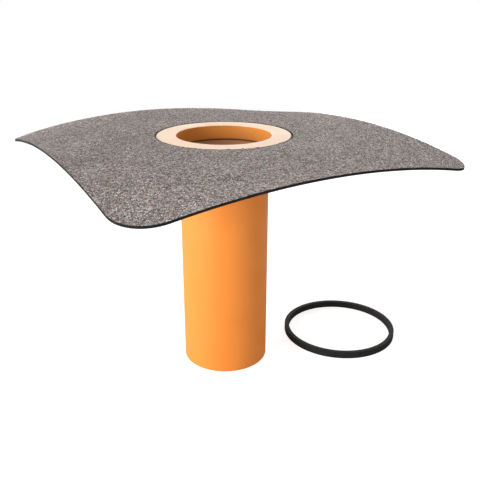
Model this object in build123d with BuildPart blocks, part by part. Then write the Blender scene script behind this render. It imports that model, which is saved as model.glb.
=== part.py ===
from build123d import *
import os
from math import cos, hypot, radians, sin, tan

# Raising element of a flat-roof drain: one moulded body with its pipe, the square slated
# bitumen sleeve that is bonded to its flange, and the rubber seal ring that is supplied loose.
# Millimetres. The origin is on the pipe's axis at its lower end, +Z is up, and the sleeve's
# sides run along X and Y.

# Pipe
total_height = 355.0
pipe_diameter = 130.0
pipe_wall = 8.0
pipe_end_chamfer = 1.0

# Mouth, from the land downwards
land_diameter = 193.0
land_edge_chamfer = 1.0
mouth_diameter = 137.0
mouth_edge_chamfer = 0.8
mouth_depth = 20.5
undercut_depth = 4.0
undercut_height = 3.5
funnel_slope = 45.0
funnel_throat_radius = 16.0
funnel_rounded_share = 0.9

# Flange that carries the sleeve
flange_diameter = 260.0
flange_thickness = 8.0
flange_draft = 4.0
flange_edge_chamfer = 1.5
flange_root_chamfer = 6.0

# Sleeve
sleeve_side = 497.4
sleeve_thickness = 3.0
sleeve_corner_radius = 49.9
sleeve_hole_gap = 1.0
sleeve_press_in = 0.3
sleeve_wave_step = 20.0

# Shape of the sleeve's edge over its flat middle: the rise where each side has its middle, the
# lean that lifts the half of the side towards higher X or Y and lowers the other, and the rise
# where two sides would meet if the corner were sharp, named by the direction that it lies in
side_rise = {"+X": -2.2, "+Y": -0.4, "-X": -0.7, "-Y": -3.1}
side_lean = {"+X": -1.0, "+Y": -5.4, "-X": 3.2, "-Y": 0.4}
corner_rise = {"+X+Y": -27.3, "-X+Y": -28.1, "-X-Y": -29.1, "+X-Y": -30.8}

# The corners that each side runs between, from low to high X or Y
side_ends = {
    "+X": ("+X-Y", "+X+Y"),
    "+Y": ("-X+Y", "+X+Y"),
    "-X": ("-X-Y", "-X+Y"),
    "-Y": ("-X-Y", "+X-Y"),
}

# Seal ring, lying beside the pipe
ring_bore = 171.1
ring_width = 7.5
ring_height = 10.7
ring_edge_chamfer = 1.4
ring_stretch = 1.5
ring_distance = 204.9
ring_direction = -11.9

# Collar under the flange that the seal ring is pushed onto
collar_diameter = ring_bore + ring_stretch
collar_height = 44.0
collar_slope = 45.0
collar_edge_chamfer = 1.5

# Radii of the body, and its heights from the land down
pipe_r = pipe_diameter / 2
bore_r = pipe_r - pipe_wall
land_r = land_diameter / 2
mouth_r = mouth_diameter / 2
undercut_r = mouth_r + undercut_depth
flange_r = flange_diameter / 2
collar_r = collar_diameter / 2
half_side = sleeve_side / 2

seat_z = total_height - sleeve_thickness + sleeve_press_in
flange_low_z = seat_z - flange_thickness
root_z = flange_low_z - (flange_r - collar_r) * tan(radians(flange_draft))
collar_low_z = root_z - collar_height
collar_foot_z = collar_low_z - (collar_r - pipe_r) * tan(radians(collar_slope))
mouth_low_z = total_height - mouth_depth
undercut_low_z = mouth_low_z - undercut_height
throat_z = undercut_low_z - (undercut_r - bore_r) * tan(radians(funnel_slope))

# The throat's rounding, which takes no more than its share of the funnel's wall
funnel_wall = (undercut_r - bore_r) / cos(radians(funnel_slope))
longest_setback = funnel_rounded_share * funnel_wall
throat_radius = min(funnel_throat_radius, longest_setback / tan(radians((90 - funnel_slope) / 2)))

# Cup round the mouth and its funnel, with the pipe's wall. It lies inside the collar, and
# keeps the mouth closed where the seal ring and so the collar are made narrower.
cup_r = undercut_r + pipe_wall
cup_foot_z = undercut_low_z - (cup_r - pipe_r) * tan(radians(funnel_slope))


def edge_rise(side, along):
    """Rise of a side's edge, at a share from -1 to 1 of half the side from its middle."""
    low_end, high_end = side_ends[side]
    ends = (corner_rise[low_end] * (1 - along) + corner_rise[high_end] * (1 + along)) / 2
    return (side_rise[side] + side_lean[side] * along) * (1 - along**2) + ends * along**2


def pull(share):
    """How far an edge carries the sleeve with it: wholly at the edge, not at all in the middle."""
    return share**2 * (1 + share) / 2


def sleeve_top(x, y):
    """Height of the sleeve's top at a place: flat over the flange and waved outside it.

    The four edges each carry the sheet with them, and what two of them do together in a
    corner is counted once.
    """
    free = min(max((hypot(x, y) - flange_r) / (half_side - flange_r), 0), 1)
    x_share = x / half_side
    y_share = y / half_side
    pulls = {"+X": pull(x_share), "+Y": pull(y_share), "-X": pull(-x_share), "-Y": pull(-y_share)}
    along = {"+X": y_share, "+Y": x_share, "-X": y_share, "-Y": x_share}
    rise = sum(pulls[side] * edge_rise(side, along[side]) for side in pulls)
    rise -= sum(pulls[corner[:2]] * pulls[corner[2:]] * corner_rise[corner] for corner in corner_rise)
    return total_height + free**2 * (3 - 2 * free) * rise


# Moulded body: one profile turned about the pipe's axis, its outside less the waterway
with BuildPart() as drain_body:
    with BuildSketch(Plane.XZ) as body_profile:
        with BuildLine():
            Polyline(
                (0, 0),
                (pipe_r, 0),
                (pipe_r, collar_foot_z),
                (collar_r, collar_low_z),
                (collar_r, root_z),
                (flange_r, flange_low_z),
                (flange_r, seat_z),
                (land_r, seat_z),
                (land_r, total_height),
                (0, total_height),
                close=True,
            )
        make_face()
        outer_breaks = [
            (pipe_r, 0, pipe_end_chamfer),
            (collar_r, collar_low_z, collar_edge_chamfer),
            (collar_r, root_z, flange_root_chamfer),
            (flange_r, flange_low_z, flange_edge_chamfer),
            (land_r, total_height, land_edge_chamfer),
        ]
        for radius_at, height_at, break_size in outer_breaks:
            corner = body_profile.vertices().sort_by_distance((radius_at, height_at, 0))[0]
            chamfer(corner, break_size)
        with BuildLine():
            Polyline(
                (0, cup_foot_z),
                (pipe_r, cup_foot_z),
                (cup_r, undercut_low_z),
                (cup_r, flange_low_z),
                (0, flange_low_z),
                close=True,
            )
        make_face()
        with BuildLine():
            Polyline(
                (0, 0),
                (bore_r, 0),
                (bore_r, throat_z),
                (undercut_r, undercut_low_z),
                (undercut_r, mouth_low_z),
                (mouth_r, mouth_low_z),
                (mouth_r, total_height),
                (0, total_height),
                close=True,
            )
        make_face(mode=Mode.SUBTRACT)
        inner_breaks = [(bore_r, 0, pipe_end_chamfer), (mouth_r, total_height, mouth_edge_chamfer)]
        for radius_at, height_at, break_size in inner_breaks:
            corner = body_profile.vertices().sort_by_distance((radius_at, height_at, 0))[0]
            chamfer(corner, break_size)
        throat = body_profile.vertices().sort_by_distance((bore_r, throat_z, 0))[0]
        fillet(throat, throat_radius)
    revolve(axis=Axis.Z)

# Sleeve: a rounded square with a round hole, cut out of one waved sheet of even thickness
sheet_reach = half_side + sleeve_wave_step
step_count = round(2 * sheet_reach / sleeve_wave_step)
stations = [-sheet_reach + 2 * sheet_reach * index / step_count for index in range(step_count + 1)]
waved_top = Face.make_surface_from_array_of_points(
    [[Vector(x, y, sleeve_top(x, y)) for y in stations] for x in stations], min_deg=3
)
waved_sheet = thicken(waved_top, amount=sleeve_thickness, normal_override=(0, 0, -1), mode=Mode.PRIVATE)

with BuildPart() as bitumen_sleeve:
    with BuildSketch():
        RectangleRounded(sleeve_side, sleeve_side, sleeve_corner_radius)
        Circle(land_r + sleeve_hole_gap, mode=Mode.SUBTRACT)
    extrude(amount=total_height + sleeve_side)
    add(waved_sheet, mode=Mode.INTERSECT)
    with BuildSketch(Plane.XY.offset(seat_z)):
        Circle(flange_r)
    extrude(amount=-sleeve_thickness, mode=Mode.SUBTRACT)

# Seal ring: a rounded rubber section turned about its own axis, lying on the ground
ring_x = ring_distance * cos(radians(ring_direction))
ring_y = ring_distance * sin(radians(ring_direction))
ring_plane = Plane(origin=(ring_x, ring_y, 0), x_dir=(1, 0, 0), z_dir=(0, -1, 0))

with BuildPart() as seal_ring:
    with BuildSketch(ring_plane) as ring_section:
        with Locations(((ring_bore + ring_width) / 2, ring_height / 2)):
            Rectangle(ring_width, ring_height)
        chamfer(ring_section.vertices(), ring_edge_chamfer)
    revolve(axis=Axis((ring_x, ring_y, 0), (0, 0, 1)))

drain_body.part.label = "drain_body"
bitumen_sleeve.part.label = "bitumen_sleeve"
seal_ring.part.label = "seal_ring"

os.makedirs("parts", exist_ok=True)
export_step(drain_body.part, "parts/drain_body.step")
export_step(bitumen_sleeve.part, "parts/bitumen_sleeve.step")
export_step(seal_ring.part, "parts/seal_ring.step")
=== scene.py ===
import logging
import math
from collections.abc import Callable, Iterator
from contextlib import contextmanager
from dataclasses import dataclass, field
from enum import Enum, IntEnum

import bmesh
import bpy
import numpy as np
from mathutils import Euler, Matrix, Vector


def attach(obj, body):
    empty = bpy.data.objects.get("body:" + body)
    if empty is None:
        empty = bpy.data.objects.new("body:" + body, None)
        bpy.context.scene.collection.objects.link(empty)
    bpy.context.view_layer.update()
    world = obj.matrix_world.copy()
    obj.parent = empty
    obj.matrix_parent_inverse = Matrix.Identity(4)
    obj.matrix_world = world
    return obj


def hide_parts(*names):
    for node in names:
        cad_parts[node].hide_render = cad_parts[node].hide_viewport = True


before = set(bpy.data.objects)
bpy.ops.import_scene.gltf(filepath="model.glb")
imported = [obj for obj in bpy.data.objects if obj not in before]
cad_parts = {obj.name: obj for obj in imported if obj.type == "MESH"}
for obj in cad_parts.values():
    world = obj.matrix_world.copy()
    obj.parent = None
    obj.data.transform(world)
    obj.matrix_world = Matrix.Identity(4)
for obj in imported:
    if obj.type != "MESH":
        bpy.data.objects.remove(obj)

# Raising element of a flat-roof drain: a moulded orange body with its pipe, a square slated
# bitumen sleeve on its flange, and a rubber seal ring lying beside it. Metres throughout.

log = logging.getLogger("roof_drain")

BODY = "root"
MERGE_DISTANCE = 1e-5
SMOOTH_UNDER = math.radians(40)

Colour = tuple[float, float, float]
Range = tuple[float, float]

# A whole share, then the ranges of a noise's height that finishes stretch onto one
WHOLE: Range = (0.0, 1.0)
MOST_HEIGHTS: Range = (0.3, 0.7)
CLOUD_HEIGHTS: Range = (0.35, 0.7)
SMEAR_HEIGHTS: Range = (0.4, 0.7)

# A face stands upright while its normal's Z is under this, up or down
UPRIGHT_UNDER = 0.5


class Slot(Enum):
    """The record's material slots."""

    BODY_PLASTIC = "body_plastic"
    SLATED_BITUMEN = "slated_bitumen"
    SEAL_RUBBER = "seal_rubber"


class BodyFace(IntEnum):
    """Material places on the body: its outside, its land, and the mouth from there down."""

    OUTSIDE = 0
    LAND = 1
    MOUTH = 2
    GROOVE = 3
    FUNNEL = 4


class SleeveFace(IntEnum):
    """Material places on the sleeve: its slated top, its cut edge and its film underneath."""

    SLATED = 0
    CUT = 1
    FILM = 2


class MixSocket(IntEnum):
    """Places of a Mix node's sockets when it mixes colours."""

    SHARE = 0
    FIRST = 6
    SECOND = 7
    ANSWER = 2


# Modelling steps that several pieces share


def start_afresh() -> None:
    """Leaves edit mode and deselects everything, so that a new piece is made alone."""
    if bpy.context.object and bpy.context.object.mode != "OBJECT":
        bpy.ops.object.mode_set(mode="OBJECT")
    bpy.ops.object.select_all(action="DESELECT")


def make_active(piece: bpy.types.Object) -> None:
    """Selects a piece alone, for the steps that work on the active object.

    Args:
        piece: The piece.
    """
    start_afresh()
    piece.select_set(True)
    bpy.context.view_layer.objects.active = piece


@contextmanager
def editing(piece: bpy.types.Object) -> Iterator[None]:
    """Opens a piece in edit mode with nothing selected, and closes it afterwards.

    Args:
        piece: The mesh object to work on.

    Yields:
        Nothing, while the piece is open.
    """
    make_active(piece)
    bpy.ops.object.mode_set(mode="EDIT")
    bpy.ops.mesh.select_mode(type="EDGE")
    bpy.ops.mesh.select_all(action="DESELECT")
    yield
    bpy.ops.object.mode_set(mode="OBJECT")


def pick(piece: bpy.types.Object, element: str, wanted: Callable[[object], bool]) -> None:
    """Selects the elements of a piece in edit mode that a test accepts.

    Args:
        piece: The mesh object, which is in edit mode.
        element: Which elements are tested: VERT, EDGE or FACE.
        wanted: The test, given each vertex, edge or face in turn.
    """
    bpy.ops.mesh.select_mode(type=element)
    bpy.ops.mesh.select_all(action="DESELECT")
    shape = bmesh.from_edit_mesh(piece.data)
    elements = {"VERT": shape.verts, "EDGE": shape.edges, "FACE": shape.faces}[element]
    chosen = [item for item in elements if wanted(item)]
    for item in chosen:
        item.select_set(True)
    shape.select_flush_mode()
    bmesh.update_edit_mesh(piece.data)


def apply_modifier(piece: bpy.types.Object, kind: str, **settings: object) -> None:
    """Adds one modifier to a piece and applies it.

    Args:
        piece: The mesh object.
        kind: Blender's name of the modifier.
        settings: Its settings by name.
    """
    make_active(piece)
    modifier = piece.modifiers.new(kind.title(), kind)
    for setting, value in settings.items():
        setattr(modifier, setting, value)
    bpy.ops.object.modifier_apply(modifier=modifier.name)


def smooth_with_flat_faces(piece: bpy.types.Object) -> None:
    """Shades a piece smooth across its rounded edges while its large faces stay flat.

    Args:
        piece: The piece.
    """
    make_active(piece)
    bpy.ops.object.shade_smooth_by_angle(angle=SMOOTH_UNDER)
    apply_modifier(piece, "WEIGHTED_NORMAL", keep_sharp=True, mode="FACE_AREA")


@dataclass(frozen=True)
class Corner:
    """One corner of a turned outline.

    Its radius and height are those of the sharp corner, setback is how far the rounding
    reaches from it along both lines, and steps is the number of faces in the rounding.
    """

    radius: float
    height: float
    setback: float = 0.0
    steps: int = 3


def turn_outline(
    name: str, corners: list[Corner], sides: int, axis_at: tuple[float, float] = (0.0, 0.0)
) -> bpy.types.Object:
    """Turns a closed outline about an upright axis and rounds its corners.

    Args:
        name: The piece's name.
        corners: The outline's corners in turn.
        sides: How many faces the piece has all round.
        axis_at: Where the axis stands.

    Returns:
        The finished mesh object, with its place in its mesh.
    """
    start_afresh()
    first = corners[0]
    bpy.ops.mesh.primitive_circle_add(
        vertices=sides, radius=first.radius, location=(*axis_at, first.height)
    )
    piece = bpy.context.object
    piece.name = name
    bpy.ops.object.transform_apply(location=True, rotation=False, scale=False)
    with editing(piece):
        bpy.ops.mesh.select_all(action="SELECT")
        before = first
        for corner in corners[1:] + [first]:
            bpy.ops.mesh.extrude_region_move(
                TRANSFORM_OT_translate={"value": (0, 0, corner.height - before.height)}
            )
            widening = corner.radius / before.radius
            bpy.ops.transform.resize(
                value=(widening, widening, 1), center_override=(*axis_at, corner.height)
            )
            before = corner
        bpy.ops.mesh.select_all(action="SELECT")
        bpy.ops.mesh.remove_doubles(threshold=MERGE_DISTANCE)
        bpy.ops.mesh.normals_make_consistent(inside=False)
        for corner in corners:
            if corner.setback:
                pick(piece, "EDGE", lambda edge: on_corner(edge, corner, axis_at))
                bpy.ops.mesh.bevel(
                    offset=corner.setback, segments=corner.steps, profile=0.5, affect="EDGES"
                )
    smooth_with_flat_faces(piece)
    return piece


def on_corner(edge: bmesh.types.BMEdge, corner: Corner, axis_at: tuple[float, float]) -> bool:
    """Tells whether an edge lies on the circle that a corner sweeps.

    Args:
        edge: The edge to test.
        corner: The outline's corner.
        axis_at: Where the axis stands.

    Returns:
        True if both of its ends do.
    """
    for end in edge.verts:
        reach = math.hypot(end.co.x - axis_at[0], end.co.y - axis_at[1])
        if max(abs(reach - corner.radius), abs(end.co.z - corner.height)) >= MERGE_DISTANCE:
            return False
    return True


# Finishes


class NodeBench:
    """Adds and joins the nodes of one material."""

    def __init__(self, name: str) -> None:
        """Starts an empty material.

        Args:
            name: The material's name.
        """
        self.material = bpy.data.materials.new(name)
        self.material.use_nodes = True
        self.tree = self.material.node_tree
        self.tree.nodes.clear()

    def add(
        self, kind: str, settings: dict[str, object] | None = None, **sockets: object
    ) -> bpy.types.Node:
        """Adds a node.

        Args:
            kind: Its type without the leading ShaderNode.
            settings: Its settings by name.
            sockets: What goes into its inputs, by name with _ for a space: a value, or
                another node's output, which is joined to it.

        Returns:
            The new node.
        """
        node = self.tree.nodes.new(f"ShaderNode{kind}")
        for setting, value in (settings or {}).items():
            setattr(node, setting, value)
        for label, value in sockets.items():
            self.feed(node.inputs[label.replace("_", " ")], value)
        return node

    def feed(self, socket: bpy.types.NodeSocket, value: object) -> None:
        """Gives an input a value, or joins another node's output to it.

        Args:
            socket: The input.
            value: A number, a vector, a colour of three numbers, or an output.
        """
        if isinstance(value, bpy.types.NodeSocket):
            self.tree.links.new(value, socket)
        elif isinstance(value, tuple) and len(value) == 3 and socket.type == "RGBA":
            socket.default_value = (*value, 1.0)
        else:
            socket.default_value = value

    def places(self) -> bpy.types.NodeSocket:
        """Returns the Object coordinates, in metres."""
        return self.add("TexCoord").outputs["Object"]

    def noise(
        self, places: bpy.types.NodeSocket, grain: float, detail: float = 2.0, fineness: float = 0.55
    ) -> bpy.types.NodeSocket:
        """Adds an even noise.

        Args:
            places: The coordinates that it reads.
            grain: The size of its lumps.
            detail: How many finer layers it has.
            fineness: How strong each finer layer is beside the one before.

        Returns:
            Its height, from 0 to 1.
        """
        node = self.add("TexNoise", Vector=places, Scale=1 / grain, Detail=detail, Roughness=fineness)
        return node.outputs["Fac"]

    def spread(
        self, value: bpy.types.NodeSocket, within: Range, onto: Range = WHOLE
    ) -> bpy.types.NodeSocket:
        """Stretches a range of values onto another one.

        Args:
            value: The value to stretch.
            within: The range that it is stretched from.
            onto: The range that it is stretched onto.

        Returns:
            The stretched value, which never leaves the second range.
        """
        node = self.add(
            "MapRange",
            Value=value,
            From_Min=within[0],
            From_Max=within[1],
            To_Min=onto[0],
            To_Max=onto[1],
        )
        return node.outputs["Result"]

    def blend(
        self, share: bpy.types.NodeSocket, first: object, second: object, way: str = "MIX"
    ) -> bpy.types.NodeSocket:
        """Mixes two colours.

        Args:
            share: How much of the second one shows.
            first: A colour or an output.
            second: A colour or an output.
            way: Blender's name of the way they mix.

        Returns:
            The mixed colour.
        """
        node = self.add("Mix", {"data_type": "RGBA", "blend_type": way})
        self.feed(node.inputs[MixSocket.SHARE], share)
        self.feed(node.inputs[MixSocket.FIRST], first)
        self.feed(node.inputs[MixSocket.SECOND], second)
        return node.outputs[MixSocket.ANSWER]

    def reckon(self, operation: str, first: object, second: object) -> bpy.types.NodeSocket:
        """Joins two numbers by a sum, product or the like.

        Args:
            operation: Blender's name of the operation.
            first: A number or an output.
            second: A number or an output.

        Returns:
            The answer.
        """
        node = self.add("Math", {"operation": operation})
        self.feed(node.inputs[0], first)
        self.feed(node.inputs[1], second)
        return node.outputs[0]

    def bump(
        self, height: bpy.types.NodeSocket, depth: float, strength: float = 1.0
    ) -> bpy.types.NodeSocket:
        """Turns a height into relief.

        Args:
            height: The height, from 0 to 1.
            depth: How deep the relief is.
            strength: How much of it shows.

        Returns:
            The relief's normal.
        """
        node = self.add("Bump", Height=height, Distance=depth, Strength=strength)
        return node.outputs["Normal"]

    def finish(self, shader: bpy.types.Node) -> bpy.types.Material:
        """Joins the last shader to the output.

        Args:
            shader: The last shader.

        Returns:
            The finished material.
        """
        output = self.add("OutputMaterial")
        self.tree.links.new(shader.outputs[0], output.inputs["Surface"])
        return self.material


@dataclass(frozen=True)
class MouldedPlastic:
    """Through-coloured moulded plastic: satin, with faint flow clouds and a fine skin."""

    name: str = "moulded_plastic"
    colour: Colour = (0.84, 0.252, 0.026)
    cloud: Colour = (0.81, 0.240, 0.023)
    refraction: float = 1.52
    coat: float = 0.0
    coat_roughness: float = 0.35
    roughness: Range = (0.46, 0.54)
    cloud_size: float = 0.045
    skin_size: float = 0.0016
    skin_depth: float = 0.00002

    def make(self) -> bpy.types.Material:
        """Mixes the plastic.

        Returns:
            The material.
        """
        bench = NodeBench(self.name)
        places = bench.places()
        cloud = bench.noise(places, self.cloud_size, detail=3)
        skin = bench.noise(places, self.skin_size)
        shader = bench.add(
            "BsdfPrincipled",
            Base_Color=bench.blend(bench.spread(cloud, CLOUD_HEIGHTS), self.colour, self.cloud),
            Roughness=bench.spread(cloud, MOST_HEIGHTS, self.roughness),
            IOR=self.refraction,
            Coat_Weight=self.coat,
            Coat_Roughness=self.coat_roughness,
            Normal=bench.bump(skin, self.skin_depth),
        )
        return bench.finish(shader)


@dataclass(frozen=True)
class SlateGranules:
    """Crushed slate pressed into bitumen: flakes of several greys with a few warm ones.

    Each flake has three chances of its own, from 0 to 1: for its tone, for a warm tint, and
    for its height and roughness. Gap and dome are shares of a flake, from its edge inwards.
    A ragged line round the hole, in the bitumen's colour, is painted shadow of the gap at the rim, each
    flake setting its own width up to the widest.
    The tone is also painted paler towards one corner and darker towards another, as broad shading.
    """

    flake_size: float = 0.0017
    flake_tones: tuple[tuple[float, Colour], ...] = (
        (0.0, (0.165, 0.137, 0.126)),
        (0.3, (0.450, 0.385, 0.362)),
        (0.7, (0.760, 0.665, 0.620)),
        (0.9, (0.920, 0.850, 0.810)),
        (1.0, (0.960, 0.920, 0.890)),
    )
    warm_chances: Range = (0.86, 0.9)
    warm_tint: Colour = (1.0, 0.72, 0.58)
    gap: Range = (0.02, 0.12)
    dome: Range = (0.0, 0.35)
    flake_heights: Range = (0.35, 1.0)
    clump_size: float = 0.005
    clump_tones: Range = (0.8, 1.2)
    drift_size: float = 0.07
    drift_tones: Range = (0.9, 1.1)
    # Painted broad shading: the tone leans paler towards the +X-Y corner and darker towards the -X-Y
    # corner.
    broad_shading_reach: float = 0.42
    pale_tones: Range = (0.98, 1.13)
    dark_tones: Range = (0.90, 1.08)
    relief: float = 0.0010
    relief_strength: float = 0.8
    roughness: Range = (0.62, 0.95)
    refraction: float = 1.3
    bitumen: Colour = (0.035, 0.033, 0.032)
    # Painted shadow round the hole: its widest reach and the softness of its edge.
    hole_radius: float = 0.0975
    rim_shadow_width: float = 0.0024
    rim_shadow_edge: float = 0.0006

    def make(self) -> bpy.types.Material:
        """Lays the granules in their bitumen.

        Returns:
            The material.
        """
        bench = NodeBench("slate_granules")
        places = bench.places()
        flakes = bench.add("TexVoronoi", {"feature": "F1"}, Vector=places, Scale=1 / self.flake_size)
        edges = bench.add(
            "TexVoronoi", {"feature": "DISTANCE_TO_EDGE"}, Vector=places, Scale=1 / self.flake_size
        )
        inwards = edges.outputs["Distance"]
        chances = bench.add("SeparateColor", Color=flakes.outputs["Color"])
        for_tone, for_warmth, for_height = chances.outputs
        tone = bench.add("ValToRGB", Fac=for_tone)
        self.set_tones(tone.color_ramp)
        warm = bench.spread(for_warmth, self.warm_chances)
        colour = bench.blend(warm, tone.outputs[0], self.warm_tint, "MULTIPLY")
        drift = bench.spread(
            bench.noise(places, self.drift_size, detail=3), MOST_HEIGHTS, self.drift_tones
        )
        clump = bench.spread(bench.noise(places, self.clump_size), MOST_HEIGHTS, self.clump_tones)
        mottle = bench.reckon("MULTIPLY", drift, clump)
        # Painted broad shading laid over the random mottle.
        shaded_mottle = bench.reckon("MULTIPLY", mottle, self.painted_broad_shading(bench, places))
        drifted = bench.add("VectorMath", {"operation": "SCALE"}, Vector=colour, Scale=shaded_mottle)
        off_gap = bench.spread(inwards, self.gap)
        # Bitumen shows in the gaps between flakes, and as painted shadow in a ragged line round the
        # hole.
        granules_off_gaps_and_shadow = bench.reckon("MULTIPLY", off_gap, self.painted_rim_shadow(bench, places, for_warmth))
        dome = bench.spread(inwards, self.dome)
        height = bench.reckon("MULTIPLY", dome, bench.spread(for_height, WHOLE, self.flake_heights))
        shader = bench.add(
            "BsdfPrincipled",
            Base_Color=bench.blend(granules_off_gaps_and_shadow, self.bitumen, drifted.outputs[0]),
            Roughness=bench.spread(for_height, WHOLE, self.roughness),
            IOR=self.refraction,
            Normal=bench.bump(height, self.relief, self.relief_strength),
        )
        return bench.finish(shader)

    def painted_rim_shadow(
        self, bench: NodeBench, places: bpy.types.NodeSocket, chance: bpy.types.NodeSocket
    ) -> bpy.types.NodeSocket:
        """Paints shadow of the gap at the rim as a ragged line round the hole, in the bitumen's colour.

        Args:
            bench: The material's nodes.
            places: The coordinates that it reads.
            chance: A number from 0 to 1 that each flake has.

        Returns:
            0 in the painted shadow and 1 where the granules start.
        """
        flat = bench.add("VectorMath", {"operation": "MULTIPLY"}, Vector=places)
        flat.inputs[1].default_value = (1, 1, 0)
        reach = bench.add("VectorMath", {"operation": "LENGTH"}, Vector=flat.outputs[0])
        rim_shadow_reach = bench.spread(chance, WHOLE, (0.0, self.rim_shadow_width))
        ragged = bench.reckon("SUBTRACT", reach.outputs["Value"], rim_shadow_reach)
        return bench.spread(ragged, (self.hole_radius, self.hole_radius + self.rim_shadow_edge))

    def painted_broad_shading(self, bench: NodeBench, places: bpy.types.NodeSocket) -> bpy.types.NodeSocket:
        """Paints broad shading: the tone paler towards one corner and darker towards the next one.

        Args:
            bench: The material's nodes.
            places: The coordinates that it reads.

        Returns:
            The tone, about 1.
        """
        place = bench.add("SeparateXYZ", Vector=places)
        across = bench.reckon("SUBTRACT", place.outputs[0], place.outputs[1])
        along = bench.reckon("ADD", place.outputs[0], place.outputs[1])
        paler = bench.spread(across, (0.0, self.broad_shading_reach), self.pale_tones)
        darker = bench.spread(along, (-self.broad_shading_reach, self.broad_shading_reach), self.dark_tones)
        return bench.reckon("MULTIPLY", paler, darker)

    def set_tones(self, ramp: bpy.types.ColorRamp) -> None:
        """Sets how light the flakes are, from the darkest to the lightest.

        Args:
            ramp: The colour ramp to set.
        """
        while len(ramp.elements) < len(self.flake_tones):
            ramp.elements.new(position=0.5)
        for element, (place, tone) in zip(ramp.elements, self.flake_tones):
            element.position = place
            element.color = (*tone, 1.0)


@dataclass(frozen=True)
class CutBitumen:
    """The sleeve's knife-cut edge: black bitumen, slightly smeared."""

    colour: Colour = (0.008, 0.008, 0.0083)
    smear: Colour = (0.016, 0.0153, 0.015)
    smear_size: float = 0.0066
    grain: float = 0.0011
    grain_depth: float = 0.0002
    grain_strength: float = 0.7
    roughness: Range = (0.6, 0.8)
    refraction: float = 1.25

    def make(self) -> bpy.types.Material:
        """Mixes the cut edge's bitumen.

        Returns:
            The material.
        """
        bench = NodeBench("cut_bitumen")
        places = bench.places()
        grain = bench.noise(places, self.grain, detail=3)
        smear = bench.noise(places, self.smear_size)
        shader = bench.add(
            "BsdfPrincipled",
            Base_Color=bench.blend(bench.spread(smear, SMEAR_HEIGHTS), self.colour, self.smear),
            Roughness=bench.spread(grain, MOST_HEIGHTS, self.roughness),
            IOR=self.refraction,
            Normal=bench.bump(grain, self.grain_depth, self.grain_strength),
        )
        return bench.finish(shader)


@dataclass(frozen=True)
class BurnOffFilm:
    """The thin black film under the sleeve, with faint wrinkles and dull patches."""

    colour: Colour = (0.012, 0.012, 0.013)
    dull: Colour = (0.026, 0.025, 0.025)
    dull_heights: Range = (0.4, 0.65)
    patch_size: float = 0.06
    wrinkle: float = 0.012
    wrinkle_depth: float = 0.0006
    wrinkle_strength: float = 0.6
    roughness: Range = (0.38, 0.6)

    def make(self) -> bpy.types.Material:
        """Makes the film.

        Returns:
            The material.
        """
        bench = NodeBench("burn_off_film")
        places = bench.places()
        wrinkles = bench.noise(places, self.wrinkle, detail=4)
        patches = bench.noise(places, self.patch_size)
        shader = bench.add(
            "BsdfPrincipled",
            Base_Color=bench.blend(bench.spread(patches, self.dull_heights), self.colour, self.dull),
            Roughness=bench.spread(wrinkles, MOST_HEIGHTS, self.roughness),
            Normal=bench.bump(wrinkles, self.wrinkle_depth, self.wrinkle_strength),
        )
        return bench.finish(shader)


@dataclass(frozen=True)
class SealRubber:
    """Black moulded rubber with a dull bloom."""

    colour: Colour = (0.014, 0.014, 0.014)
    bloom: Colour = (0.021, 0.020, 0.0195)
    bloom_size: float = 0.012
    grain: float = 0.0007
    grain_depth: float = 0.00005
    grain_strength: float = 0.6
    roughness: Range = (0.62, 0.78)
    refraction: float = 1.25

    def make(self) -> bpy.types.Material:
        """Mixes the rubber.

        Returns:
            The material.
        """
        bench = NodeBench("seal_rubber")
        places = bench.places()
        grain = bench.noise(places, self.grain)
        bloom = bench.noise(places, self.bloom_size, detail=3)
        shader = bench.add(
            "BsdfPrincipled",
            Base_Color=bench.blend(bench.spread(bloom, CLOUD_HEIGHTS), self.colour, self.bloom),
            Roughness=bench.spread(bloom, MOST_HEIGHTS, self.roughness),
            IOR=self.refraction,
            Normal=bench.bump(grain, self.grain_depth, self.grain_strength),
        )
        return bench.finish(shader)


def make_body_plastics() -> dict[BodyFace, bpy.types.Material]:
    """Makes the body's plastic, one orange in painted copies: its land is paler with painted sheen, and
    its mouth, groove and funnel darker with painted shade.

    Returns:
        The plastic of each kind of face.
    """
    shades = {
        BodyFace.OUTSIDE: MouldedPlastic(),
        # Painted sheen: the land is a paler copy of the same orange, standing in for the white
        # reflection it shows at a grazing view.
        BodyFace.LAND: MouldedPlastic(
            name="land_plastic_painted_sheen",
            colour=(0.98, 0.66, 0.40),
            cloud=(0.97, 0.64, 0.39),
            refraction=1.45,
            coat=0.18,
        ),
        # Painted shade: the mouth's wall is a darker, browner copy of the same orange.
        BodyFace.MOUTH: MouldedPlastic(
            name="mouth_plastic_painted_shade",
            colour=(0.61, 0.222, 0.044),
            cloud=(0.58, 0.210, 0.041),
            refraction=1.2,
        ),
        # Painted shade: the groove under the mouth is a near-black copy of the orange, standing in for
        # the shadow under the mouth's overhang.
        BodyFace.GROOVE: MouldedPlastic(
            name="groove_plastic_painted_shade",
            colour=(0.16, 0.095, 0.050),
            cloud=(0.14, 0.083, 0.044),
            refraction=1.2,
        ),
        # Painted shade: the funnel and the bore below it are a darker, browner copy of the same orange.
        BodyFace.FUNNEL: MouldedPlastic(
            name="funnel_plastic_painted_shade",
            colour=(0.52, 0.260, 0.125),
            cloud=(0.49, 0.245, 0.115),
            refraction=1.2,
        ),
    }
    return {kind: shade.make() for kind, shade in shades.items()}


# Pieces


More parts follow.
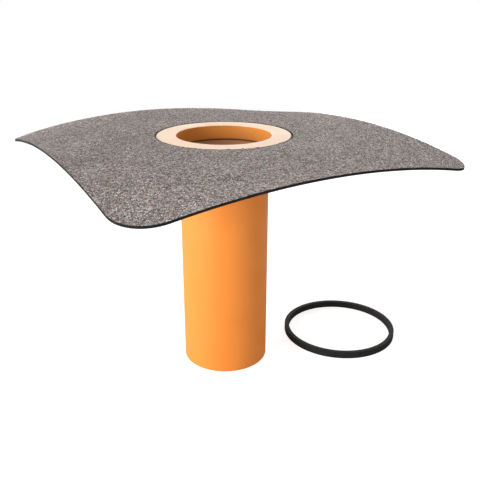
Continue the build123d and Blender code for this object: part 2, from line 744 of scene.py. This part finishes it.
@dataclass
class DrainBody:
    """The moulded body: pipe, collar for the seal ring, flange, and the land round the mouth."""

    total_height: float = 0.355
    pipe_radius: float = 0.065
    pipe_end_rounding: float = 0.001
    bore_radius: float = 0.057
    collar_radius: float = 0.0863
    flange_radius: float = 0.130
    edge_rounding: float = 0.0015
    root_rounding: float = 0.006
    land_radius: float = 0.0965
    land_rounding: float = 0.001
    mouth_radius: float = 0.0685
    mouth_rounding: float = 0.0008
    undercut_radius: float = 0.0725
    collar_foot: float = 0.275944
    collar_low: float = 0.297244
    flange_root: float = 0.341244
    flange_low: float = 0.3443
    seat: float = 0.3523
    mouth_low: float = 0.3345
    undercut_low: float = 0.3310
    funnel_slope: float = 45.0
    throat: float = 0.3155
    throat_radius: float = 0.016
    sides: int = 288

    def build(self) -> bpy.types.Object:
        """Turns the body's outline about the pipe's axis.

        Returns:
            The body.
        """
        throat_setback = self.throat_radius * math.tan(math.radians((90 - self.funnel_slope) / 2))
        corners = [
            Corner(self.bore_radius, 0.0, self.pipe_end_rounding),
            Corner(self.pipe_radius, 0.0, self.pipe_end_rounding),
            Corner(self.pipe_radius, self.collar_foot),
            Corner(self.collar_radius, self.collar_low, self.edge_rounding),
            Corner(self.collar_radius, self.flange_root, self.root_rounding, steps=6),
            Corner(self.flange_radius, self.flange_low, self.edge_rounding),
            Corner(self.flange_radius, self.seat),
            Corner(self.land_radius, self.seat),
            Corner(self.land_radius, self.total_height, self.land_rounding, steps=4),
            Corner(self.mouth_radius, self.total_height, self.mouth_rounding, steps=4),
            Corner(self.mouth_radius, self.mouth_low),
            Corner(self.undercut_radius, self.mouth_low),
            Corner(self.undercut_radius, self.undercut_low),
            Corner(self.bore_radius, self.throat, throat_setback, steps=8),
        ]
        piece = turn_outline("moulded_body", corners, self.sides)
        # The land gets the plastic with painted sheen, the mouth, groove and funnel the plastic with
        # painted shade.
        for face in piece.data.polygons:
            face.material_index = self.kind_of_face(face.center)
        return piece

    def kind_of_face(self, centre: Vector) -> BodyFace:
        """Names the kind of face that has its centre there.

        Args:
            centre: The face's centre.

        Returns:
            Its place among the body's finishes.
        """
        reach = math.hypot(centre.x, centre.y)
        if centre.z > self.total_height - self.land_rounding and reach > self.mouth_radius:
            return BodyFace.LAND
        if reach > self.undercut_radius + MERGE_DISTANCE:
            return BodyFace.OUTSIDE
        if centre.z > self.mouth_low + MERGE_DISTANCE:
            return BodyFace.MOUTH
        if centre.z > self.undercut_low:
            return BodyFace.GROOVE
        if centre.z > self.collar_foot:
            return BodyFace.FUNNEL
        return BodyFace.OUTSIDE

    def dress(self, piece: bpy.types.Object, finishes: dict[BodyFace, bpy.types.Material]) -> None:
        """Gives the body its finishes and its place in the frame.

        Args:
            piece: The body.
            finishes: The plastic of each kind of face, with painted sheen on the land and painted shade
                inside the mouth.
        """
        for kind in BodyFace:
            piece.data.materials.append(finishes[kind])
        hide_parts("drain_body")
        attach(piece, BODY)


@dataclass
class SleeveWave:
    """How the sleeve waves outside the flange, carried by its four edges.

    Rises are heights over the flat middle: where each side has its middle, and where two
    sides would meet if the corner were sharp. A side's lean lifts the half of it towards
    higher X or Y and lowers the other half.
    """

    half_side: float
    flat_radius: float
    side_rises: dict[str, float] = field(
        default_factory=lambda: {"+X": -0.0022, "+Y": -0.0004, "-X": -0.0007, "-Y": -0.0031}
    )
    side_leans: dict[str, float] = field(
        default_factory=lambda: {"+X": -0.0010, "+Y": -0.0054, "-X": 0.0032, "-Y": 0.0004}
    )
    corner_rises: dict[str, float] = field(
        default_factory=lambda: {"+X+Y": -0.0273, "-X+Y": -0.0281, "-X-Y": -0.0291, "+X-Y": -0.0308}
    )

    def edge_rise(self, side: str, along: np.ndarray) -> np.ndarray:
        """Works out the rise of one side's edge.

        Args:
            side: The side, by the direction that it lies in.
            along: Places along it, from -1 to 1 of half the side.

        Returns:
            The edge's rise at those places.
        """
        ends = {"X": (f"{side}-Y", f"{side}+Y"), "Y": (f"-X{side}", f"+X{side}")}[side[1]]
        low_end, high_end = (self.corner_rises[end] for end in ends)
        at_ends = (low_end * (1 - along) + high_end * (1 + along)) / 2
        in_middle = self.side_rises[side] + self.side_leans[side] * along
        return in_middle * (1 - along**2) + at_ends * along**2

    def pull(self, share: np.ndarray) -> np.ndarray:
        """Returns how far an edge carries the sheet: wholly at 1, not at all at 0 and -1."""
        return share**2 * (1 + share) / 2

    def height(self, x: np.ndarray, y: np.ndarray) -> np.ndarray:
        """Works out the wave's height.

        Args:
            x: Places along X.
            y: Places along Y.

        Returns:
            The height of the sheet's top over its flat middle.
        """
        free = np.clip((np.hypot(x, y) - self.flat_radius) / (self.half_side - self.flat_radius), 0, 1)
        x_share, y_share = x / self.half_side, y / self.half_side
        pulls = {
            "+X": self.pull(x_share),
            "+Y": self.pull(y_share),
            "-X": self.pull(-x_share),
            "-Y": self.pull(-y_share),
        }
        rise = sum(
            pulls[side] * self.edge_rise(side, y_share if "X" in side else x_share) for side in pulls
        )
        rise -= sum(
            pulls[corner[:2]] * pulls[corner[2:]] * corner_rise
            for corner, corner_rise in self.corner_rises.items()
        )
        return free**2 * (3 - 2 * free) * rise


@dataclass
class BitumenSleeve:
    """The square slated sheet on the flange, flat there and waved outside it."""

    side: float = 0.4974
    thickness: float = 0.003
    corner_radius: float = 0.0499
    hole_radius: float = 0.0975
    middle_height: float = 0.355
    seat: float = 0.3523
    flange_radius: float = 0.130
    cells: int = 100
    cell_cuts: int = 2
    evened_cells: int = 3
    evened_rounds: int = 6
    slope_step: float = 0.0001
    granule_stand: float = 0.00015
    granule_throw: float = 0.0007
    granule_flatness: float = 0.45
    ragged_rim: float = 0.0011
    seed: int = 11

    @property
    def half(self) -> float:
        """Half of a side."""
        return self.side / 2

    @property
    def cell(self) -> float:
        """The side of one cell of the grid."""
        return self.side / self.cells

    @property
    def arc_centre(self) -> float:
        """How far along X and Y the corners' centres lie."""
        return self.half - self.corner_radius

    def build(self) -> bpy.types.Object:
        """Cuts the sheet flat, gives it its thickness and granules, and lets it wave.

        Returns:
            The sleeve.
        """
        piece = self.cut_flat_sheet()
        apply_modifier(piece, "SOLIDIFY", thickness=self.thickness, offset=-1)
        self.divide_surface(piece)
        self.name_faces(piece)
        self.throw_granules(piece)
        self.wave(piece)
        return piece

    def cut_flat_sheet(self) -> bpy.types.Object:
        """Cuts a rounded square with a round hole out of a flat grid.

        Returns:
            The sheet, at height 0 and without thickness.
        """
        start_afresh()
        bpy.ops.mesh.primitive_grid_add(
            x_subdivisions=self.cells, y_subdivisions=self.cells, size=self.side, calc_uvs=False
        )
        piece = bpy.context.object
        piece.name = "slated_sleeve"
        with editing(piece):
            pick(piece, "FACE", lambda face: self.cut_away(face.calc_center_median()))
            bpy.ops.mesh.delete(type="FACE")
            pick(piece, "VERT", lambda vertex: vertex.is_boundary)
            self.draw_to_outline(piece)
            pick(piece, "VERT", lambda vertex: not vertex.is_boundary and self.near_arc(vertex.co))
            bpy.ops.mesh.vertices_smooth(factor=0.5, repeat=self.evened_rounds, zaxis=False)
        return piece

    def cut_away(self, place: Vector, distance: float = 0.0) -> bool:
        """Tells whether a place lies in the hole or outside a rounded corner.

        Args:
            place: The place to test.
            distance: How far into the sheet it may lie.

        Returns:
            True if it does.
        """
        if math.hypot(place.x, place.y) < self.hole_radius + distance:
            return True
        from_arc = (abs(place.x) - self.arc_centre, abs(place.y) - self.arc_centre)
        return min(from_arc) > 0 and math.hypot(*from_arc) > self.corner_radius - distance

    def near_arc(self, place: Vector) -> bool:
        """Tells whether a place lies within a few cells of the hole or a rounded corner."""
        return self.cut_away(place, self.evened_cells * self.cell)

    def draw_to_outline(self, piece: bpy.types.Object) -> None:
        """Moves the selected vertices at the hole and the corners onto their arcs.

        Args:
            piece: The sheet, in edit mode.
        """
        shape = bmesh.from_edit_mesh(piece.data)
        for vertex in shape.verts:
            if not vertex.select:
                continue
            reach = math.hypot(vertex.co.x, vertex.co.y)
            from_arc = Vector((abs(vertex.co.x) - self.arc_centre, abs(vertex.co.y) - self.arc_centre))
            if reach < self.flange_radius:
                vertex.co.x *= self.hole_radius / reach
                vertex.co.y *= self.hole_radius / reach
            elif min(from_arc) > 0:
                on_arc = from_arc.normalized() * self.corner_radius
                vertex.co.x = math.copysign(self.arc_centre + on_arc.x, vertex.co.x)
                vertex.co.y = math.copysign(self.arc_centre + on_arc.y, vertex.co.y)
        bmesh.update_edit_mesh(piece.data)

    def divide_surface(self, piece: bpy.types.Object) -> None:
        """Divides the top and the cut edges finely and draws the rims onto their arcs again.

        Args:
            piece: The sheet with its thickness, still flat.
        """
        with editing(piece):
            above_film = MERGE_DISTANCE - self.thickness
            pick(piece, "FACE", lambda face: face.calc_center_median().z > above_film)
            bpy.ops.mesh.subdivide(number_cuts=self.cell_cuts)
            pick(piece, "FACE", lambda face: abs(face.normal.z) < UPRIGHT_UNDER)
            bpy.ops.mesh.select_mode(type="VERT")
            self.draw_to_outline(piece)

    def name_faces(self, piece: bpy.types.Object) -> None:
        """Gives each face its place among the sleeve's finishes, and shades it.

        Args:
            piece: The sheet with its thickness, still flat.
        """
        for face in piece.data.polygons:
            if face.normal.z > UPRIGHT_UNDER:
                face.material_index = SleeveFace.SLATED
            elif face.normal.z > -UPRIGHT_UNDER:
                face.material_index = SleeveFace.CUT
            else:
                face.material_index = SleeveFace.FILM
            face.use_smooth = face.material_index != SleeveFace.SLATED

    def throw_granules(self, piece: bpy.types.Object) -> None:
        """Roughens the top by random moves and lifts it by the granules' height.

        Args:
            piece: The sheet with its thickness, still flat.
        """
        on_top = -MERGE_DISTANCE
        with editing(piece):
            pick(piece, "VERT", lambda vertex: vertex.co.z > on_top and self.inside_rims(vertex.co))
            self.throw_vertices(self.granule_throw, along_normal=0.0)
            bpy.ops.transform.resize(value=(1, 1, self.granule_flatness), center_override=(0, 0, 0))
            bpy.ops.transform.translate(value=(0, 0, self.granule_stand))
            pick(piece, "VERT", lambda vertex: abs(vertex.co.z) < MERGE_DISTANCE)
            self.throw_vertices(self.granule_throw * self.granule_flatness, along_normal=1.0)
            bpy.ops.transform.translate(value=(0, 0, self.granule_stand))
            pick(piece, "VERT", lambda vertex: vertex.co.z > on_top and self.on_hole_rim(vertex.co))
            self.throw_vertices(self.ragged_rim, along_normal=1.0)
            bpy.ops.transform.translate(value=(0, 0, self.granule_stand))

    def throw_vertices(self, reach: float, along_normal: float) -> None:
        """Moves the selected vertices at random.

        Args:
            reach: How far they move.
            along_normal: 0 for moves to any side, 1 for moves along their normals.
        """
        bpy.ops.transform.vertex_random(
            offset=reach, uniform=0.0, normal=along_normal, seed=self.seed
        )

    def on_hole_rim(self, place: Vector) -> bool:
        """Tells whether a place lies on the rim of the hole."""
        return abs(math.hypot(place.x, place.y) - self.hole_radius) < MERGE_DISTANCE

    def inside_rims(self, place: Vector) -> bool:
        """Tells whether a place lies off the sheet's rims.

        Args:
            place: The place to test.

        Returns:
            True if it does.
        """
        return not (
            math.hypot(place.x, place.y) < self.hole_radius + MERGE_DISTANCE
            or max(abs(place.x), abs(place.y)) > self.half - MERGE_DISTANCE
            or self.cut_away(place * (1 + MERGE_DISTANCE / self.half))
        )

    def wave(self, piece: bpy.types.Object) -> None:
        """Moves the flat sheet to its waved place, with an even thickness.

        Args:
            piece: The flat sheet with its granules.
        """
        count = len(piece.data.vertices)
        places = np.empty(count * 3)
        piece.data.vertices.foreach_get("co", places)
        x, y, z = places.reshape(-1, 3).T
        wave = SleeveWave(self.half, self.flange_radius)
        height = wave.height(x, y)
        slope_x = (wave.height(x + self.slope_step, y) - height) / self.slope_step
        slope_y = (wave.height(x, y + self.slope_step) - height) / self.slope_step
        over_flange = np.hypot(x, y) < self.flange_radius + self.cell
        lowest = np.where(over_flange, self.seat - self.middle_height, -self.thickness)
        depth = np.maximum(z, lowest) * np.sqrt(1 + slope_x**2 + slope_y**2)
        waved = np.column_stack((x, y, self.middle_height + height + depth))
        piece.data.vertices.foreach_set("co", waved.ravel())
        piece.data.update()

    def dress(self, piece: bpy.types.Object, finishes: dict[SleeveFace, bpy.types.Material]) -> None:
        """Gives the sleeve its finishes and its place in the frame.

        Args:
            piece: The sleeve.
            finishes: The material of each kind of face.
        """
        for kind in SleeveFace:
            piece.data.materials.append(finishes[kind])
        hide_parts("bitumen_sleeve")
        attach(piece, BODY)


@dataclass
class SealRing:
    """The rubber ring for the collar, lying loose beside the pipe."""

    bore_radius: float = 0.08555
    width: float = 0.0075
    height: float = 0.0107
    rounding: float = 0.0009
    rounding_steps: int = 5
    distance: float = 0.2049
    direction: float = -11.9
    sides: int = 192

    def build(self) -> bpy.types.Object:
        """Turns the ring's rounded section about its own axis.

        Returns:
            The ring.
        """
        outer_radius = self.bore_radius + self.width
        section = [
            (self.bore_radius, 0.0),
            (outer_radius, 0.0),
            (outer_radius, self.height),
            (self.bore_radius, self.height),
        ]
        corners = [Corner(*place, self.rounding, self.rounding_steps) for place in section]
        direction = math.radians(self.direction)
        axis_at = (self.distance * math.cos(direction), self.distance * math.sin(direction))
        return turn_outline("rubber_ring", corners, self.sides, axis_at)

    def dress(self, piece: bpy.types.Object, rubber: bpy.types.Material) -> None:
        """Gives the ring its finish and its place in the frame.

        Args:
            piece: The ring.
            rubber: The black rubber.
        """
        piece.data.materials.append(rubber)
        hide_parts("seal_ring")
        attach(piece, BODY)


# Studio


@dataclass
class Viewpoint:
    """The photograph's camera, looking down a little past the pipe."""

    place: tuple[float, float, float] = (-0.4372, -0.7800, 0.5389)
    azimuth: float = -29.27
    turned_right: float = 0.02592
    tilted_down: float = 0.36975
    rolled: float = 0.00182
    lens: float = 47.10
    sensor: float = 36.0
    nearest: float = 0.01

    def build(self) -> None:
        """Sets the camera up and makes it the scene's."""
        camera = bpy.data.objects.new("camera", bpy.data.cameras.new("camera"))
        bpy.context.scene.collection.objects.link(camera)
        camera.data.lens = self.lens
        camera.data.sensor_width = self.sensor
        camera.data.clip_start = self.nearest
        aim = Euler((math.pi / 2 - self.tilted_down, 0, math.radians(self.azimuth) - self.turned_right))
        turned = aim.to_matrix() @ Matrix.Rotation(self.rolled, 3, "Z")
        camera.matrix_world = Matrix.Translation(self.place) @ turned.to_4x4()
        bpy.context.scene.camera = camera


@dataclass(frozen=True)
class SoftBox:
    """A large soft lamp that faces the object.

    Its bearing is measured round the object from the camera, to the left, in degrees, and
    level is how bright it makes white paper that faces it at the object.
    """

    name: str
    bearing: float
    elevation: float
    distance: float
    width: float
    height: float
    level: float

    def build(self, camera_azimuth: float, aim_at: Vector) -> None:
        """Sets the lamp up.

        Args:
            camera_azimuth: The azimuth of the photograph's view.
            aim_at: What the lamp faces.
        """
        data = bpy.data.lights.new(self.name, "AREA")
        data.shape = "RECTANGLE"
        data.size = self.width
        data.size_y = self.height
        data.energy = self.level * math.pi**2 * self.distance**2
        lamp = bpy.data.objects.new(self.name, data)
        bpy.context.scene.collection.objects.link(lamp)
        around = math.radians(camera_azimuth - self.bearing)
        up = math.radians(self.elevation)
        level_reach = math.cos(up)
        towards = Vector((math.sin(around) * level_reach, -math.cos(around) * level_reach, math.sin(up)))
        turned = towards.to_track_quat("Z", "Y").to_matrix().to_4x4()
        lamp.matrix_world = Matrix.Translation(aim_at + towards * self.distance) @ turned
        lamp.visible_camera = False


def seen_by_camera(tree: bpy.types.NodeTree) -> bpy.types.NodeSocket:
    """Adds an output that is 1 for the camera's own rays and 0 for all others."""
    return tree.nodes.new("ShaderNodeLightPath").outputs["Is Camera Ray"]


@dataclass
class Studio:
    """White surroundings, a pale floor that keeps the shadow, and soft lamps."""

    surroundings: float = 0.2
    floor_size: float = 3.4
    floor_colour: float = 0.6
    floor_seen_colour: float = 0.5
    floor_seen_glow: float = 0.8
    lamps_face: tuple[float, float, float] = (0.0, 0.0, 0.25)
    lamps: tuple[SoftBox, ...] = (
        SoftBox("key", bearing=52.0, elevation=14.0, distance=2.4, width=1.4, height=1.2, level=1.12),
        SoftBox("left", bearing=100.0, elevation=14.0, distance=2.4, width=1.4, height=1.2, level=0.72),
        SoftBox("fill", bearing=-36.0, elevation=14.0, distance=2.4, width=1.6, height=1.2, level=0.36),
        SoftBox("back", bearing=-158.0, elevation=15.0, distance=2.6, width=3.6, height=1.0, level=0.6),
    )

    def build(self, viewpoint: Viewpoint) -> None:
        """Sets up the surroundings, the floor and the lamps.

        Args:
            viewpoint: The photograph's camera.
        """
        bpy.context.scene.view_settings.view_transform = "Standard"
        self.build_surroundings()
        self.build_floor()
        for lamp in self.lamps:
            lamp.build(viewpoint.azimuth, Vector(self.lamps_face))

    def build_surroundings(self) -> None:
        """Makes the world white where it is seen and a plain grey light elsewhere."""
        world = bpy.data.worlds.new("surroundings")
        bpy.context.scene.world = world
        world.use_nodes = True
        tree = world.node_tree
        strength = tree.nodes.new("ShaderNodeMapRange")
        strength.inputs["To Min"].default_value = self.surroundings
        strength.inputs["To Max"].default_value = 1.0
        tree.links.new(seen_by_camera(tree), strength.inputs["Value"])
        background = tree.nodes["Background"]
        background.inputs["Color"].default_value = (1, 1, 1, 1)
        tree.links.new(strength.outputs[0], background.inputs["Strength"])

    def build_floor(self) -> None:
        """Makes the pale floor, white to the camera except in the object's shadow."""
        start_afresh()
        bpy.ops.mesh.primitive_plane_add(size=self.floor_size)
        floor = bpy.context.object
        floor.name = "floor"
        bench = NodeBench("pale_floor")
        plain = bench.add("BsdfDiffuse", Color=(self.floor_colour,) * 3)
        shaded = bench.add("BsdfDiffuse", Color=(self.floor_seen_colour,) * 3)
        glow = bench.add("Emission", Color=(1.0, 1.0, 1.0), Strength=self.floor_seen_glow)
        white = bench.add("AddShader")
        bench.tree.links.new(shaded.outputs[0], white.inputs[0])
        bench.tree.links.new(glow.outputs[0], white.inputs[1])
        either = bench.add("MixShader", Fac=seen_by_camera(bench.tree))
        bench.tree.links.new(plain.outputs[0], either.inputs[1])
        bench.tree.links.new(white.outputs[0], either.inputs[2])
        floor.data.materials.append(bench.finish(either))


def report(piece: bpy.types.Object) -> None:
    """Logs a finished piece's name and how many faces it has."""
    log.info("%s: %d faces", piece.name, len(piece.data.polygons))


def main() -> None:
    """Builds the studio and the drain's pieces in order, and reports each one."""
    logging.basicConfig(level=logging.INFO, format="%(name)s: %(message)s")
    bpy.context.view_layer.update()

    viewpoint = Viewpoint()
    viewpoint.build()
    Studio().build(viewpoint)

    body = DrainBody()
    body_piece = body.build()
    body.dress(body_piece, make_body_plastics())
    report(body_piece)

    sleeve = BitumenSleeve()
    sleeve_piece = sleeve.build()
    finishes = {
        SleeveFace.SLATED: SlateGranules().make(),
        SleeveFace.CUT: CutBitumen().make(),
        SleeveFace.FILM: BurnOffFilm().make(),
    }
    sleeve.dress(sleeve_piece, finishes)
    report(sleeve_piece)

    ring = SealRing()
    ring_piece = ring.build()
    ring.dress(ring_piece, SealRubber().make())
    report(ring_piece)


if __name__ == "__main__":
    main()
